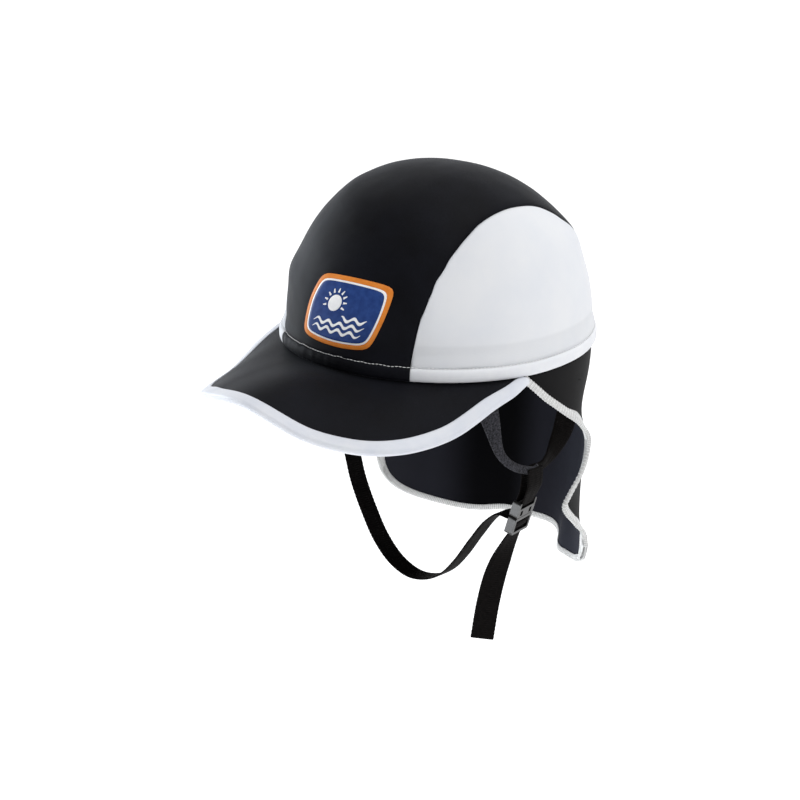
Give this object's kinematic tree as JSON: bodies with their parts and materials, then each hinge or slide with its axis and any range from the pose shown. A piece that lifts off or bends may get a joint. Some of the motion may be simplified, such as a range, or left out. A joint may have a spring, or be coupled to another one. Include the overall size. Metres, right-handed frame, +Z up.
{
  "type": "sun flap cap",
  "caption": "Child's cloth cap with a curved brim, a long neck flap and a chin strap with a side clip, held as worn.",
  "frame": {"origin": "middle of the head opening, on the plane of the hem", "axes": "+Z up through the crown, the brim points along -Y, +X is the wearer's left"},
  "size_m": [0.1546, 0.2341, 0.2381],
  "materials": {
    "black_cloth": "smooth knitted swim cloth",
    "white_cloth": "smooth knitted swim cloth",
    "white_trim": "binding tape and overlock thread",
    "black_webbing": "woven webbing",
    "black_plastic": "moulded",
    "badge_print": "printed patch"
  },
  "bodies": {
    "root": {"crown_center_panel": "black_cloth", "crown_side_panel_left": "white_cloth", "crown_side_panel_right": "white_cloth", "hem_band_front": "black_cloth", "hem_band_left": "white_cloth", "hem_band_right": "white_cloth", "hem_band_back": "black_cloth", "crown_badge": "badge_print", "brim": "black_cloth", "brim_binding": "white_trim", "flap": "black_cloth", "flap_trim": "white_trim", "chin_strap_left_front": "black_webbing", "chin_strap_left_back": "black_webbing", "clip_loop": "black_webbing", "chin_strap_right": "black_webbing", "clip_socket": "black_plastic", "clip_ladder": "black_plastic"}
  },
  "joints": []
}
